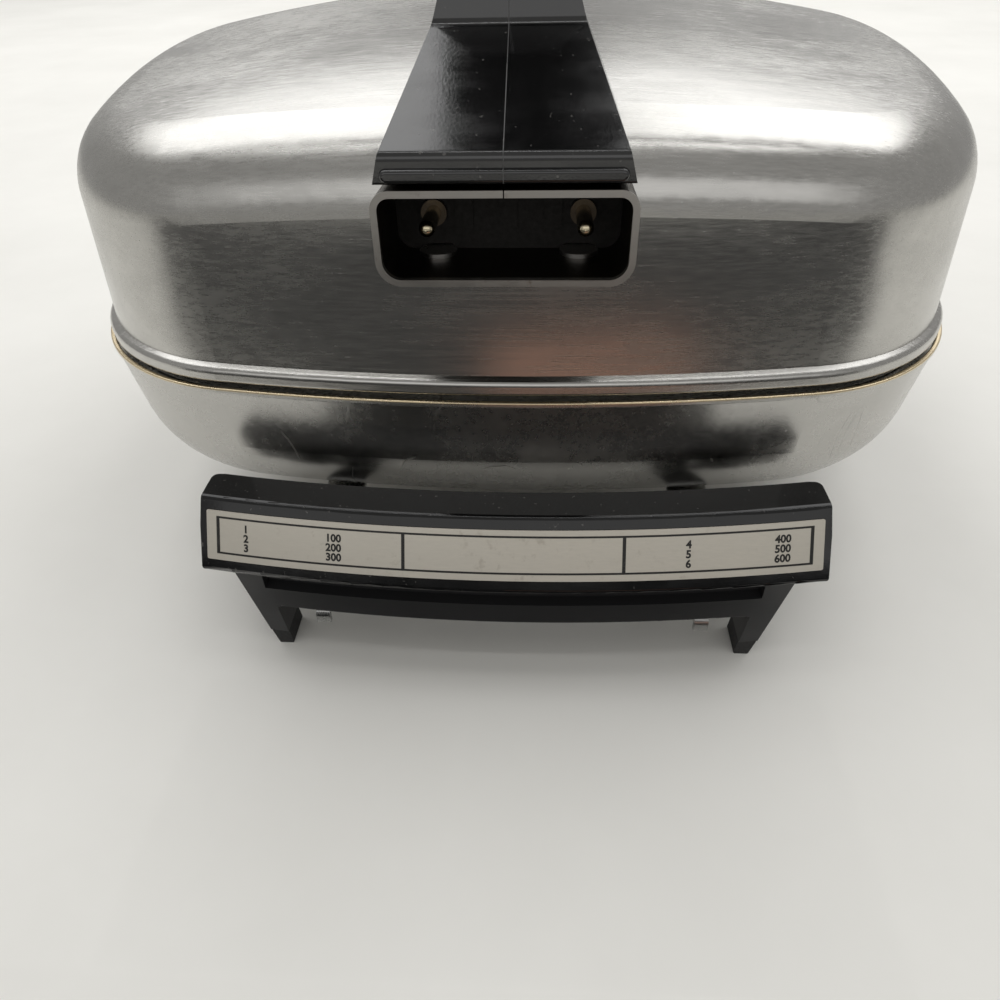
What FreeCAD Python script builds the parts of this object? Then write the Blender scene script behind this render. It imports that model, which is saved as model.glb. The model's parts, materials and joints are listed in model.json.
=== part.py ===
import FreeCAD, Part
import math
import os

from FreeCAD import Rotation, Vector

# Electric skillet with a hinged high-dome broiler lid.
# Millimetres. +Z is up and -Y is the front. The origin lies on the table under the pan's centre.
# Every sub-part has its own function. The sizes that drive them come first.

# Soft-square outline of the rim: four bowed sides and four corner arcs
rim_half = 152.5
side_radius = 575.0
corner_radius = 67.0

# Pan
rim_z = 87.0
pan_bottom_z = 35.5
pan_wall = 3.2
pan_floor = 3.5
rim_band_height = 1.6
rim_band_depth = 0.6
rim_edge_round = 0.5
rim_land = 1.6
seat_depth = 3.0
seat_width = 5.6
seat_sheet = 2.0
wall_run = 8.0
pan_outer_round = 32.0
floor_inset = 46.0

# Sheathed element under the pan
pan_element_radius = 4.0
pan_element_half = 78.0
pan_element_corner = 42.0
pan_element_turn = 12.0
pan_ridge_width = 14.0
pan_ridge_height = 5.0
groove_clearance = 0.1

# Lid
lid_sheet = 1.6
lid_seat_gap = 0.3
lid_skirt_gap = 3.4
lid_bead_z = 88.0
lid_bead_height = 4.6
lid_bead_depth = 2.2
lid_wall_inset = 3.6
lid_draft_deg = 3.6
crown_z = 172.0
crown_radius = 700.0
shoulder_round = 24.0
dome_core_inset = 40.0

# Reflector and broiler element inside the lid
reflector_z = 149.2
reflector_sheet = 0.8
reflector_inset = 37.0
reflector_lip = 6.0
broiler_radius = 3.2
broiler_pitch = 40.0
broiler_front_y = -58.0
broiler_back_y = 98.0
broiler_side_x = 100.0
broiler_entry_y = -100.0
broiler_lead = 14.0
broiler_lead_bend = 10.0
clip_sheet = 0.8
clip_width = 8.0
clip_foot = 6.0
clip_rows = (-25.0, 60.0)
clip_clearance = 0.1

# Plug inlets, one on the lid's front and one under the pan's right side
inlet_width = 61.0
inlet_height = 21.8
inlet_strip = 1.6
inlet_depth = 24.4
inlet_top_round = 4.5
inlet_bottom_round = 6.0
inlet_seam = 0.3
inlet_hole_gap = 0.3
pin_radius = 1.985
pin_spacing = 38.1
pin_tip_depth = 7.7
pin_tail = 8.0
pin_tail_radius = 1.6
ferrule_radius = 3.3
ferrule_height = 1.4
insulator_radius = 2.9
insulator_bore_gap = 0.05
insulator_proud = 2.0
terminal_plate = 2.0
terminal_tab_width = 4.6
terminal_tab_height = 8.0
terminal_tab_proud = 0.6
terminal_tab_spacing = 11.4
rivet_head_radius = 4.9
rivet_head_height = 1.0
rivet_shank_radius = 1.6
rivet_tail_share = 1.7
rivet_inner_gap = 0.4
rivet_spacing = 36.2
rivet_depth = 20.6
lid_inlet_z = 140.6
lid_inlet_mouth_y = -167.9
base_inlet_mouth_x = 150.5
base_inlet_z = 19.2
tongue_sheet = 1.2
tongue_width = 52.0
tongue_reach = 8.0
tongue_leg = 14.0
tongue_bend = 1.2
tongue_wall_gap = 0.4
lid_tunnel_past = 0.6
bracket_flange_depth = 44.0
pin_hole_radius = 4.4
inlet_screw_spacing = 30.0
inlet_screw_depth = 38.5
inlet_screw_radius = 1.8
inlet_screw_head_radius = 3.2
inlet_screw_head_height = 1.6
inlet_screw_bite = 2.3

# Thermostat probe socket beside the base pins
probe_bore_radius = 3.3
probe_wall = 1.4
probe_rise = 4.0
probe_depth_end = 84.0
probe_boss_depth = 50.0
probe_boss_radius = 7.0

# Handle bars, front and rear
bar_half = 98.4
bar_rear_half = 96.9
bar_end_taper = 0.6
bar_end_round = 3.0
bar_top_z = 58.2
bar_front_top_z = 56.4
bar_pan_gap = 4.5
bar_rear_y = 149.5
bar_front_y = 167.6
bar_bow_radius = 600.0
bar_deep_y = 129.5
fascia_bottom_z = 36.6
fascia_tilt_deg = 33.9
bar_wall = 4.0
bar_edge_round = 2.2
fascia_lip = 1.6
groove_height = 7.1
groove_depth = 3.7
groove_half = 80.0
groove_slope = 1.0
nose_round = 1.4
apron_edge_round = 0.8
cavity_past = 12.0
apron_y = 176.6
apron_bottom_z = 18.9
apron_wall = 3.2
leg_top_half = 89.2
leg_top_z = 33.0
leg_foot_half = 82.7
leg_inner_top_half = 77.7
leg_inner_half = 76.3
leg_foot_z = 6.5
leg_front_y = 172.6
leg_back_y = 159.5
pad_outer_half = 80.6
pad_inner_half = 75.7
pad_notch = 0.5
pad_front_y = 171.2
pad_round = 0.5

# Plate on the front bar
plate_half = 95.7
plate_width = 15.6
plate_sheet = 0.8
plate_seat = 0.4
plate_round = 0.6
plate_gap = 0.15
plate_from_top = 3.9

# Steel brackets that carry the bars
bracket_x = 62.5
bracket_width = 14.0
bracket_sheet = 1.6
bracket_stud_y = 106.0
bracket_end_y = 171.0
bracket_rear_y = 97.0
bracket_low_z = 16.5
bracket_foot_y = 152.0
bracket_knee_y = 128.0
bracket_lip_width = 4.6
bracket_lip_drop = 3.6
bracket_lip_bend = 1.0
stud_boss_radius = 6.5
stud_boss_height = 3.0
stud_radius = 2.4
stud_length = 9.0
nut_across = 8.0
nut_height = 3.2
bar_screw_y = 164.0
bar_screw_radius = 2.0
bar_screw_head_radius = 3.8
bar_screw_head_height = 2.2
bar_screw_length = 14.0
bar_boss_radius = 5.5
hole_gap = 0.15
thread_gap = 0.05

# Lid hinge
hinge_y = 165.5
hinge_z = 92.0
hinge_half_width = 30.0
hinge_sheet = 1.8
hinge_pin_radius = 2.5
hinge_running_gap = 0.06
hinge_side_gap = 0.4
hinge_pin_head_radius = 4.2
hinge_pin_head_height = 1.6
knuckle_radius = 5.0
ear_radius = 6.5
leaf_sheet = 2.0
leaf_half_width = 22.0
leaf_top_z = 128.0
leaf_bend_z = 99.5
leaf_bend_round = 3.0
leaf_wall_gap = 0.1
leaf_rivet_rows = (108.0, 120.0)
leaf_rivet_spacing = 28.0
open_deg = 95.0
stop_gap_deg = 1.5
stop_web_y = 158.0
stop_web_z = 86.0
heel_reach = 9.0
heel_sheet = 2.0
heel_half_width = 12.0
hinge_base_depth = 8.6
hinge_base_bend = 1.0
hinge_screw_setback = 0.4
hinge_seat_margin = 2.0
hinge_seat_height = 13.0
hinge_seat_y = 149.8
hinge_seat_end_y = 163.0
hinge_screw_spacing = 36.0
hinge_screw_radius = 1.8
hinge_screw_head_radius = 2.8
hinge_screw_head_height = 1.8
hinge_screw_length = 10.0
leaf_rivet_head_radius = 3.4
leaf_rivet_head_height = 1.2

# Lid handle
grip_foot_y = -166.0
grip_foot_z = 152.4
grip_lip_z = 158.8
grip_knee_y = -127.0
grip_knee_z = 178.0
grip_knee_round = 3.0
grip_lip_round = 2.5
grip_front_y = -117.0
grip_top_z = 214.0
grip_thickness = 18.0
grip_back_y = 40.0
grip_under_y = -140.0
grip_gap_front_y = -98.0
grip_gap_back_y = 14.0
grip_foot_half = 30.9
grip_lip_half = 27.7
grip_knee_half = 18.7
grip_half = 13.0
grip_round = 7.0
grip_seat_gap = 0.2
grip_bead_half = 27.7
grip_bead_height = 3.2
grip_bead_rise = 1.9
grip_bead_proud = 1.2
grip_bead_round = 1.0
grip_screw_front_y = -108.0
grip_screw_back_y = 27.0
grip_screw_radius = 2.0
grip_screw_depth = 12.0
grip_screw_head_radius = 4.5
grip_screw_head_height = 1.6
spacer_radius = 4.2

up = Vector(0, 0, 1)
into = Vector(0, 1, 0)
origin = Vector(0, 0, 0)
drop_below = 60.0
drop_front = 200.0


def fused(shapes):
    """One solid from several that share faces or overlap."""
    return shapes[0].multiFuse(shapes[1:]).removeSplitter()


def rounded_edges(corners, closed):
    """Straight edges through the corners (point, radius), each corner rounded by a tangent arc."""
    count = len(corners)
    last = count if closed else count - 1
    arrive = []
    leave = []
    arcs = []
    for index in range(count):
        point, radius = corners[index]
        is_end = not closed and index in (0, count - 1)
        if radius == 0 or is_end:
            arrive.append(point)
            leave.append(point)
            arcs.append(None)
            continue
        back = (corners[index - 1][0] - point).normalize()
        ahead = (corners[(index + 1) % count][0] - point).normalize()
        half_angle = back.getAngle(ahead) / 2
        reach = radius / math.tan(half_angle)
        inward = (back + ahead).normalize()
        middle = point + inward * (radius / math.sin(half_angle) - radius)
        arrive.append(point + back * reach)
        leave.append(point + ahead * reach)
        arcs.append(Part.Arc(arrive[-1], middle, leave[-1]).toShape())
    edges = []
    for index in range(count):
        if arcs[index] is not None:
            edges.append(arcs[index])
        following = (index + 1) % count
        if index < last and leave[index].distanceToPoint(arrive[following]) > 1e-6:
            edges.append(Part.LineSegment(leave[index], arrive[following]).toShape())
    return edges


def flat_face(corners, to_space):
    """Flat face from corners (a, b, radius), set in space by to_space(a, b)."""
    placed = [(to_space(a, b), radius) for a, b, radius in corners]
    return Part.Face(Part.Wire(rounded_edges(placed, True)))


def side_face(corners, x):
    """Face in a plane of constant X from corners (y, z, radius)."""
    return flat_face(corners, lambda y, z: Vector(x, y, z))


def front_face(corners, y):
    """Face in a plane of constant Y from corners (x, z, radius)."""
    return flat_face(corners, lambda x, z: Vector(x, y, z))


def across(corners, half_width, centre=0.0):
    """Solid of one (y, z) outline, as wide as twice half_width along X."""
    return side_face(corners, centre - half_width).extrude(Vector(2 * half_width, 0, 0))


def cylinder(radius, length, start, direction=up):
    return Part.makeCylinder(radius, length, start, direction)


def block(low, high):
    size = high - low
    return Part.makeBox(size.x, size.y, size.z, low)


def hexagon(across_flats, height, start):
    """Six-sided prism that stands on start, along +Z."""
    reach = across_flats / math.sqrt(3)
    points = []
    for corner in range(7):
        angle = math.radians(60 * corner)
        points.append(start + Vector(reach * math.cos(angle), reach * math.sin(angle), 0))
    return Part.Face(Part.makePolygon(points)).extrude(up * height)


def corner_centre():
    """Distance along X and along Y from the middle to the centre of a corner arc."""
    reach = side_radius - rim_half
    between = side_radius - corner_radius
    return (math.sqrt(2 * between ** 2 - reach ** 2) - reach) / 2


def outline_arcs():
    """Centre, radius, start angle and sweep of the eight arcs of the rim's outline."""
    reach = side_radius - rim_half
    corner = corner_centre()
    turn = math.degrees(math.atan2(corner, corner + reach))
    arcs = []
    for quarter in range(4):
        facing = Rotation(up, 90 * quarter)
        arcs.append((facing.multVec(Vector(-reach, 0, 0)), side_radius, 90 * quarter - turn, 2 * turn))
        arcs.append((facing.multVec(Vector(corner, corner, 0)), corner_radius, 90 * quarter + turn, 90 - 2 * turn))
    return arcs


def outline_face(inset, z):
    """Flat face inside the rim's outline, moved in by the inset."""
    edges = []
    for centre, radius, start, sweep in outline_arcs():
        circle = Part.Circle(centre + up * z, up, radius - inset)
        edges.append(Part.ArcOfCircle(circle, math.radians(start), math.radians(start + sweep)).toShape())
    return Part.Face(Part.Wire(edges))


def outline_ring(corners):
    """Solid made by carrying a section round the outline. Corners are (inset, height, radius)."""
    pieces = []
    for centre, radius, start, sweep in outline_arcs():
        section = flat_face(corners, lambda inset, z: Vector(radius - inset, 0, z))
        section.rotate(origin, up, start)
        section.translate(centre)
        pieces.append(section.revolve(centre, up, sweep))
    return fused(pieces)


def rod(corners, radius):
    """Round rod along straight runs joined by tangent arcs. Corners are (point, radius)."""
    path = Part.Wire(rounded_edges(corners, False))
    run = (corners[1][0] - corners[0][0]).normalize()
    circle = Part.Wire(Part.Circle(corners[0][0], run, radius).toShape())
    return path.makePipe(Part.Face(circle))


def pan_element_path():
    """Corners of the loop under the pan, from one terminal round to the other."""
    side = pin_spacing / 2
    loop_z = pan_bottom_z - pan_ridge_height
    pin_z = base_inlet_z
    half = pan_element_half
    drop_x = half + 3 * pan_element_radius
    end_x = base_inlet_mouth_x - inlet_depth - pin_tail
    bend = 6.0
    near = [
        (Vector(end_x, side, pin_z), 0),
        (Vector(end_x - 8.0, side, pin_z), bend),
        (Vector(drop_x, side, loop_z), bend),
        (Vector(half, side, loop_z), pan_element_turn),
        (Vector(half, half, loop_z), pan_element_corner),
        (Vector(-half, half, loop_z), pan_element_corner),
    ]
    far = [(Vector(point.x, -point.y, point.z), radius) for point, radius in reversed(near)]
    return near + far


def soft_square(half, corner, z, height):
    """Square prism with rounded corners that stands on z."""
    corners = [(half, half, corner), (-half, half, corner), (-half, -half, corner), (half, -half, corner)]
    return flat_face(corners, lambda x, y: Vector(x, y, z)).extrude(up * height)


def stud_places():
    """Where the four bracket studs stand under the pan."""
    return [Vector(x, y, 0) for x in (-bracket_x, bracket_x) for y in (-bracket_stud_y, bracket_stud_y)]


def pan():
    """Cast pan with a rim band, a seat for the lid and a ridge for the element."""
    band_foot = rim_z - rim_band_height
    lean = (wall_run - rim_band_depth) / (band_foot - pan_bottom_z)
    floor_z = pan_bottom_z + pan_floor
    inner_foot = wall_run + pan_wall - lean * pan_floor
    seat_z = rim_z - seat_depth
    wall = outline_ring([
        (0, rim_z, rim_edge_round),
        (0, band_foot, rim_edge_round),
        (rim_band_depth, band_foot - rim_band_depth * 0.6, 0),
        (wall_run, pan_bottom_z, pan_outer_round),
        (floor_inset, pan_bottom_z, 0),
        (floor_inset, floor_z, 0),
        (inner_foot, floor_z, pan_outer_round - pan_wall),
        (rim_band_depth + pan_wall + lean * seat_depth, seat_z - 2 * seat_sheet, 0),
        (rim_land + seat_width, seat_z - seat_sheet, 0),
        (rim_land + seat_width, seat_z, 0),
        (rim_land, seat_z, 0),
        (rim_land, rim_z, rim_edge_round),
    ])
    floor = outline_face(floor_inset, pan_bottom_z).extrude(up * pan_floor)
    ridge_z = pan_bottom_z - pan_ridge_height
    wide = pan_ridge_width / 2
    outer = soft_square(pan_element_half + wide, pan_element_corner + wide, ridge_z, pan_ridge_height)
    inner = soft_square(pan_element_half - wide, pan_element_corner - wide, ridge_z, pan_ridge_height)
    solids = [wall, floor, outer.cut(inner)]
    for place in stud_places():
        solids.append(cylinder(stud_boss_radius, stud_boss_height, place + up * (pan_bottom_z - stud_boss_height)))
    body = fused(solids + [probe_boss()])
    cutters = [rod(pan_element_path(), pan_element_radius + groove_clearance), probe_boss_bore()]
    for place in stud_places():
        start = place + up * (pan_bottom_z - stud_boss_height)
        cutters.append(cylinder(stud_radius + thread_gap, stud_boss_height, start))
    for place in inlet_screw_places():
        cutters.append(under_pan(cylinder(inlet_screw_radius + thread_gap, inlet_screw_bite + hole_gap, place)))
    for cutter in cutters:
        body = body.cut(cutter)
    return body


def pan_element():
    """Sheathed heating loop, seated in the ridge under the pan."""
    return rod(pan_element_path(), pan_element_radius)


def bent_strip(path, sheet):
    """Corners of a bent strip's edge view.

    The path is (a, b, inner bend radius), and the sheet lies on its left."""
    near = []
    far = []
    last = len(path) - 1
    for index, (a, b, radius) in enumerate(path):
        here = Vector(a, b, 0)
        before = Vector(*path[max(index - 1, 0)][:2], 0)
        after = Vector(*path[min(index + 1, last)][:2], 0)
        ahead = (after - here if index < last else here - before).normalize()
        came = (here - before if index > 0 else ahead).normalize()
        left_in = Vector(-came.y, came.x, 0)
        left_out = Vector(-ahead.y, ahead.x, 0)
        shifted = here + (left_in + left_out) * (sheet / (1 + left_in.dot(left_out)))
        turns_left = came.cross(ahead).z > 0
        bends = radius > 0
        near.append((a, b, radius + sheet if bends and turns_left else radius))
        far.append((shifted.x, shifted.y, radius + sheet if bends and not turns_left else radius))
    return near + far[::-1]


def inlet_tube(grow, depth, start):
    """Rounded tunnel outline of an inlet, grown outwards and extruded along +Y."""
    side = inlet_width / 2 + grow
    tall = inlet_height / 2 + grow
    corners = [
        (-side, -tall, inlet_bottom_round + grow),
        (side, -tall, inlet_bottom_round + grow),
        (side, tall, inlet_top_round + grow),
        (-side, tall, inlet_top_round + grow),
    ]
    return front_face(corners, start).extrude(Vector(0, depth, 0))


def inlet_shroud():
    """Bent strip round the pins, with a butt joint on top and two rivet holes in its floor."""
    strip = inlet_tube(0, inlet_depth, 0).cut(inlet_tube(-inlet_strip, inlet_depth, 0))
    top = inlet_height / 2
    seam = block(Vector(-inlet_seam / 2, 0, 0), Vector(inlet_seam / 2, inlet_depth, top))
    for cutter in [seam] + rivet_shanks(hole_gap):
        strip = strip.cut(cutter)
    return strip


def rivet_shanks(gap):
    """Shanks of the two floor rivets, or their holes with a gap round them."""
    low = -inlet_height / 2 - tongue_sheet
    shanks = []
    for side in (-1, 1):
        start = Vector(side * rivet_spacing / 2, rivet_depth, low)
        shanks.append(cylinder(rivet_shank_radius + gap, tongue_sheet + inlet_strip, start))
    return shanks


def inlet_rivets():
    """Two flat-headed rivets through the inlet's floor and the tongue below it."""
    top = -inlet_height / 2 + inlet_strip
    low = -inlet_height / 2 - tongue_sheet
    rivets = []
    for shank in rivet_shanks(0):
        middle = shank.CenterOfMass
        head = cylinder(rivet_head_radius, rivet_head_height, Vector(middle.x, middle.y, top))
        tail_start = Vector(middle.x, middle.y, low - rivet_head_height)
        tail = cylinder(rivet_shank_radius * rivet_tail_share, rivet_head_height, tail_start)
        rivets.append(fused([shank, head, tail]))
    return Part.makeCompound(rivets)


def pin_starts(depth):
    """Points on the two pin axes at a depth behind the mouth."""
    return [Vector(side * pin_spacing / 2, depth, 0) for side in (-1, 1)]


def inlet_plate(tab_places, probe_hole=None):
    """Ceramic plate behind the shroud. It carries the pins and may let a probe through."""
    plate = inlet_tube(0, terminal_plate, inlet_depth)
    for centre in tab_places:
        low = Vector(centre - terminal_tab_width / 2, inlet_depth - terminal_tab_proud, -terminal_tab_height / 2)
        high = Vector(centre + terminal_tab_width / 2, inlet_depth, terminal_tab_height / 2)
        plate = plate.fuse(block(low, high))
    for start in pin_starts(inlet_depth):
        plate = plate.cut(cylinder(insulator_radius, terminal_plate, start, into))
    for shank in rivet_shanks(0):
        middle = shank.CenterOfMass
        notch_start = Vector(middle.x, middle.y, -inlet_height / 2)
        notch_height = inlet_strip + rivet_head_height + inlet_hole_gap
        plate = plate.cut(cylinder(rivet_head_radius + inlet_hole_gap, notch_height, notch_start))
    if probe_hole is not None:
        plate = plate.cut(probe_hole)
    return plate.removeSplitter()


def collars(radius, length, depth):
    """Two rings round the thin tails of the pins, with a small gap inside."""
    rings = []
    for start in pin_starts(depth):
        bore = cylinder(pin_tail_radius + insulator_bore_gap, length, start, into)
        rings.append(cylinder(radius, length, start, into).cut(bore))
    return Part.makeCompound(rings)


def inlet_insulators():
    """Ceramic beads round the pins, in the plate's two holes."""
    return collars(insulator_radius, terminal_plate + insulator_proud, inlet_depth)


def inlet_ferrules():
    """Metal rings that clamp the pins on the plate's front."""
    return collars(ferrule_radius, ferrule_height, inlet_depth - ferrule_height)


def inlet_pins():
    """Two round contact pins with domed tips, a shoulder on the ferrules and thinner tails."""
    pins = []
    shoulder = inlet_depth - ferrule_height
    for start in pin_starts(pin_tip_depth + pin_radius):
        shank = cylinder(pin_radius, shoulder - start.y, start, into)
        tip = Part.makeSphere(pin_radius, start, into * -1, 0, 90, 360)
        tail_start = Vector(start.x, shoulder, 0)
        tail = cylinder(pin_tail_radius, inlet_depth + pin_tail - shoulder, tail_start, into)
        pins.append(fused([shank, tip, tail]))
    return Part.makeCompound(pins)


def on_lid(shape):
    """Set an inlet piece on the lid's front, square to the drafted wall."""
    placed = shape.copy()
    placed.rotate(origin, Vector(1, 0, 0), -lid_draft_deg)
    placed.translate(Vector(0, lid_inlet_mouth_y, lid_inlet_z))
    return placed


def under_pan(shape):
    """Set an inlet piece under the pan's right side, with its mouth towards +X."""
    placed = shape.copy()
    placed.rotate(origin, up, 90)
    placed.translate(Vector(base_inlet_mouth_x, 0, base_inlet_z))
    return placed


def lid_tongue():
    """Angle behind the lid's wall. Its tongue comes out under the shroud's floor."""
    floor = -inlet_height / 2
    back = inlet_depth + tongue_wall_gap
    path = [
        (back + tongue_sheet, floor - tongue_leg, 0),
        (back + tongue_sheet, floor, tongue_bend),
        (rivet_depth - tongue_reach, floor, 0),
    ]
    tongue = across(bent_strip(path, tongue_sheet), tongue_width / 2)
    for hole in rivet_shanks(hole_gap):
        tongue = tongue.cut(hole)
    return tongue


def lid_tongue_slot():
    """Slot in the lid's wall that the tongue passes through."""
    floor = -inlet_height / 2
    wide = tongue_width / 2 + inlet_hole_gap
    under = tongue_sheet + rivet_head_height + inlet_hole_gap
    low = Vector(-wide, rivet_depth - tongue_reach, floor - under)
    high = Vector(wide, inlet_depth + tongue_wall_gap, floor)
    return block(low, high)


def probe_axis(depth):
    """Point on the probe's axis at a depth behind the base inlet's mouth."""
    return Vector(0, depth, probe_rise)


def base_inlet_bracket():
    """Bent bracket that hangs the base inlet from the pan. Its web clears the pins and the probe."""
    floor = -inlet_height / 2
    ceiling = pan_bottom_z - base_inlet_z
    back = inlet_depth + terminal_plate + tongue_bend + inlet_hole_gap
    path = [
        (bracket_flange_depth, ceiling, 0),
        (back, ceiling, tongue_bend),
        (back, floor, tongue_bend),
        (rivet_depth - tongue_reach, floor, 0),
    ]
    bracket = across(bent_strip(path, tongue_sheet), tongue_width / 2)
    cutters = rivet_shanks(hole_gap)
    for start in pin_starts(back - tongue_sheet):
        cutters.append(cylinder(pin_hole_radius, 3 * tongue_sheet, start, into))
    sleeve_hole = probe_bore_radius + probe_wall + hole_gap
    cutters.append(cylinder(sleeve_hole, 3 * tongue_sheet, probe_axis(back - tongue_sheet), into))
    for place in inlet_screw_places():
        cutters.append(cylinder(inlet_screw_radius + hole_gap, 3 * tongue_sheet, place - up * 2 * tongue_sheet))
    for cutter in cutters:
        bracket = bracket.cut(cutter)
    return bracket


def inlet_screw_places():
    """Where the two bracket screws meet the pan's underside, in the inlet's own frame."""
    ceiling = pan_bottom_z - base_inlet_z
    return [Vector(side * inlet_screw_spacing / 2, inlet_screw_depth, ceiling) for side in (-1, 1)]


def inlet_bracket_screws():
    """Two screws that hold the base inlet's bracket to the pan."""
    screws = []
    for place in inlet_screw_places():
        low = place - up * (tongue_sheet + inlet_screw_head_height)
        head = cylinder(inlet_screw_head_radius, inlet_screw_head_height, low)
        shank = cylinder(inlet_screw_radius, tongue_sheet + inlet_screw_bite, place - up * tongue_sheet)
        screws.append(fused([head, shank]))
    return Part.makeCompound(screws)


def probe_sleeve():
    """Steel sleeve for the thermostat probe, from the boss under the pan to the inlet's plate."""
    length = probe_depth_end - inlet_depth - terminal_plate
    start = probe_axis(inlet_depth + terminal_plate)
    outer = cylinder(probe_bore_radius + probe_wall, length, start, into)
    return under_pan(outer.cut(cylinder(probe_bore_radius, length, start, into)))


def probe_boss():
    """Cast boss and rib under the pan that hold the probe's sleeve."""
    start = probe_axis(probe_boss_depth)
    length = probe_depth_end + probe_wall - probe_boss_depth
    barrel = cylinder(probe_boss_radius, length, start, into)
    rib_low = Vector(-probe_boss_radius, probe_boss_depth, probe_rise)
    rib_high = Vector(probe_boss_radius, probe_boss_depth + length, pan_bottom_z - base_inlet_z)
    return under_pan(barrel.fuse(block(rib_low, rib_high)))


def probe_boss_bore():
    """Blind bore in the boss, round the sleeve."""
    length = probe_depth_end - probe_boss_depth
    radius = probe_bore_radius + probe_wall + groove_clearance
    return under_pan(cylinder(radius, length, probe_axis(probe_boss_depth), into))


def lid_block(shrink):
    """Closed outer form of the lid above its bead, made smaller all round by shrink."""
    low = lid_bead_z
    high = crown_z + 20.0
    lean = math.tan(math.radians(lid_draft_deg))
    start = lid_wall_inset + shrink
    wall = outline_ring([
        (start, low, 0),
        (start + lean * (high - low), high, 0),
        (dome_core_inset, high, 0),
        (dome_core_inset, low, 0),
    ])
    core = outline_face(dome_core_inset, low).extrude(up * (high - low))
    ball = Part.makeSphere(crown_radius - shrink)
    ball.rotate(origin, Vector(1, 0, 0), 90)
    ball.translate(up * (crown_z - crown_radius))
    form = fused([wall, core]).common(ball).Solids[0]
    rims = [edge for edge in form.Edges if low + 1.0 < edge.BoundBox.ZMin and edge.BoundBox.ZLength < 9.0]
    return form.makeFillet(shoulder_round - shrink, rims)


def lid_hem():
    """Rolled bead and skirt round the lid's lower edge."""
    skirt_inset = rim_land + lid_skirt_gap
    skirt_z = rim_z - seat_depth + lid_seat_gap
    bead_top = lid_bead_z + lid_bead_height
    bead_out = lid_wall_inset - lid_bead_depth
    return outline_ring([
        (skirt_inset, skirt_z, 0.3),
        (skirt_inset, lid_bead_z, 0),
        (bead_out, lid_bead_z, 1.4),
        (bead_out, bead_top, 2.2),
        (lid_wall_inset + 0.5, bead_top + 1.2, 0),
        (lid_wall_inset + lid_sheet, bead_top + 1.2, 0),
        (skirt_inset + lid_sheet, lid_bead_z, 0),
        (skirt_inset + lid_sheet, skirt_z, 0.3),
    ])


def grip_screw_starts():
    """Where the two handle screws leave the reflector's underside."""
    return [Vector(0, y, reflector_z) for y in (grip_screw_front_y, grip_screw_back_y)]


def lid_shell():
    """Drawn dome with a bead and a skirt, cut for the inlet, the handle screws and the hinge."""
    shell = fused([lid_block(0).cut(lid_block(lid_sheet)), lid_hem()])
    tunnel = inlet_tube(inlet_hole_gap, inlet_depth + terminal_plate + lid_tunnel_past, 0)
    cutters = [on_lid(tunnel), on_lid(lid_tongue_slot())]
    for start in grip_screw_starts():
        cutters.append(cylinder(grip_screw_radius + hole_gap, drop_below, start))
    cutters += leaf_rivet_shanks(hole_gap)
    for cutter in cutters:
        shell = shell.cut(cutter)
    return shell


def reflector():
    """Bright plate with a turned-down lip that hangs under the dome."""
    lip_z = reflector_z - reflector_lip
    core_inset = reflector_inset + 4 * reflector_sheet
    lip = outline_ring([
        (reflector_inset, lip_z, 0),
        (reflector_inset + reflector_sheet, lip_z, 0),
        (reflector_inset + reflector_sheet, reflector_z, reflector_sheet),
        (core_inset, reflector_z, 0),
        (core_inset, reflector_z + reflector_sheet, 0),
        (reflector_inset, reflector_z + reflector_sheet, 2 * reflector_sheet),
    ])
    plate = fused([lip, outline_face(core_inset, reflector_z).extrude(up * reflector_sheet)])
    for start in grip_screw_starts():
        plate = plate.cut(cylinder(grip_screw_radius + hole_gap, reflector_sheet, start))
    return plate


def reflector_spacers():
    """Tubes on the handle screws between the reflector and the dome."""
    inside = lid_block(lid_sheet)
    tubes = []
    for start in grip_screw_starts():
        foot = start + up * reflector_sheet
        tube = cylinder(spacer_radius, drop_below, foot).cut(cylinder(grip_screw_radius + hole_gap, drop_below, foot))
        tubes.append(tube.common(inside).Solids[0])
    return Part.makeCompound(tubes)


def lid_handle_screws():
    """Two long screws up through the reflector, the spacers and the dome into the handle."""
    screws = []
    for start in grip_screw_starts():
        surface = crown_z - crown_radius + math.sqrt(crown_radius ** 2 - start.y ** 2)
        head = cylinder(grip_screw_head_radius, grip_screw_head_height, start - up * grip_screw_head_height)
        shank = cylinder(grip_screw_radius, surface + grip_screw_depth - start.z, start)
        screws.append(fused([head, shank]))
    return Part.makeCompound(screws)


def broiler_element():
    """Sheathed rod that winds to and fro under the reflector, with both ends at the pins."""
    tail = on_lid(Part.Vertex(Vector(pin_spacing / 2, inlet_depth + pin_tail, 0))).Point
    lean = math.tan(math.radians(lid_draft_deg))
    run_in = broiler_lead
    rod_z = tail.z - lean * run_in
    column = broiler_pitch / 2
    bend = broiler_pitch / 2
    near = [
        (tail, 0),
        (Vector(tail.x, tail.y + run_in, rod_z), broiler_lead_bend),
        (Vector(tail.x, broiler_entry_y, rod_z), broiler_lead_bend),
        (Vector(broiler_side_x, broiler_entry_y, rod_z), bend),
        (Vector(broiler_side_x, broiler_back_y, rod_z), bend),
        (Vector(broiler_side_x - broiler_pitch, broiler_back_y, rod_z), bend),
        (Vector(broiler_side_x - broiler_pitch, broiler_front_y, rod_z), bend),
        (Vector(column, broiler_front_y, rod_z), bend),
        (Vector(column, broiler_back_y, rod_z), bend),
    ]
    far = [(Vector(-point.x, point.y, point.z), radius) for point, radius in reversed(near)]
    return rod(near + far, broiler_radius)


def broiler_rod_z():
    """Height of the broiler rod's centre."""
    tail = on_lid(Part.Vertex(Vector(0, inlet_depth + pin_tail, 0))).Point
    return tail.z - math.tan(math.radians(lid_draft_deg)) * broiler_lead


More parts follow.
